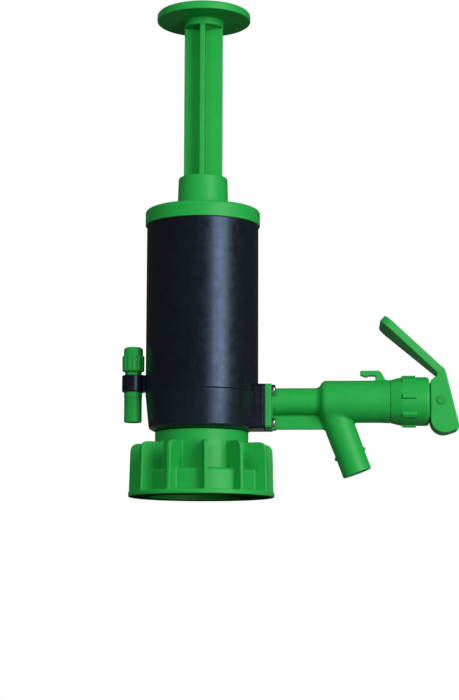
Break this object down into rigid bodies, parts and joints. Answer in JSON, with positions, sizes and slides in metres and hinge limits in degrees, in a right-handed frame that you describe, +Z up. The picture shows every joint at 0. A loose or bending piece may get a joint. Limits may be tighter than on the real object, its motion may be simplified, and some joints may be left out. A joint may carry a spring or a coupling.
{
  "type": "hand transfer pump",
  "caption": "Hand pressure pump that screws on a canister's neck: cross-ribbed plunger in a round barrel, winged neck nut, vent valve, and a side tap with a cam lever and spout.",
  "frame": {"origin": "on the pump's axis, in the open face of the neck nut, where the canister's neck goes in", "axes": "+Z up the plunger, +X from the pump's axis along the tap"},
  "size_m": [0.1951, 0.0846, 0.29],
  "materials": {
    "green_plastic": "moulded satin gloss",
    "black_plastic": "moulded satin gloss",
    "white_plastic": "moulded",
    "rubber": "moulded",
    "steel": "plated"
  },
  "bodies": {
    "pump_body": {"pump_base": "black_plastic", "neck_flange": "black_plastic", "neck_gasket": "rubber", "suction_tail": "black_plastic", "air_valve": "rubber", "barrel_o_rings": "rubber", "barrel_tube": "black_plastic", "top_cap": "green_plastic", "guide_bush": "black_plastic", "flange_gasket": "rubber", "flange_screws": "steel", "tap_body": "green_plastic", "stem_gland": "black_plastic", "stem_o_ring": "rubber", "stem_spring": "steel", "bonnet_nut": "green_plastic", "vent_body": "green_plastic", "vent_o_rings": "rubber", "vent_nut": "green_plastic"},
    "plunger": {"plunger_rod": "green_plastic", "plunger_knob": "green_plastic", "piston_cup": "rubber", "piston_washer": "steel", "piston_screw": "steel"},
    "neck_nut": {"winged_nut": "green_plastic"},
    "tap_valve": {"valve_stem": "white_plastic", "valve_washer": "rubber"},
    "tap_lever": {"lever": "green_plastic", "lever_pin": "green_plastic"},
    "vent_needle": {"vent_spindle": "steel", "vent_seal": "rubber", "spindle_o_ring": "rubber"},
    "vent_grip": {"vent_knob": "green_plastic"}
  },
  "joints": [
    {"name": "plunger_slide", "type": "slide", "parent": "pump_body", "child": "plunger", "axis": [0, 0, 1], "range_m": [-0.072, 0]},
    {"name": "nut_turn", "type": "hinge", "parent": "pump_body", "child": "neck_nut", "pos_m": [0, 0, 0.019], "axis": [0, 0, 1], "continuous": true},
    {"name": "stem_slide", "type": "slide", "parent": "pump_body", "child": "tap_valve", "axis": [1, 0, 0], "range_m": [0, 0.00251], "stiffness_N_per_m": 400, "springref_m": -0.005, "deforming": ["stem_spring"]},
    {"name": "lever_turn", "type": "hinge", "parent": "tap_valve", "child": "tap_lever", "pos_m": [0.138, 0, 0.0553], "axis": [0, -1, 0], "range_deg": [0, 16]},
    {"name": "vent_lift", "type": "slide", "parent": "pump_body", "child": "vent_needle", "axis": [0, 0, 1], "range_m": [0, 0.0015]},
    {"name": "vent_turn", "type": "hinge", "parent": "vent_needle", "child": "vent_grip", "pos_m": [-0.0403, 0, 0.08], "axis": [0, 0, 1], "range_deg": [0, 270]}
  ],
  "couplings": [
    {"joint": "lever_turn", "follows": "stem_slide", "rad_per_m": 111.11},
    {"joint": "vent_turn", "follows": "vent_lift", "rad_per_m": 3141.6}
  ]
}
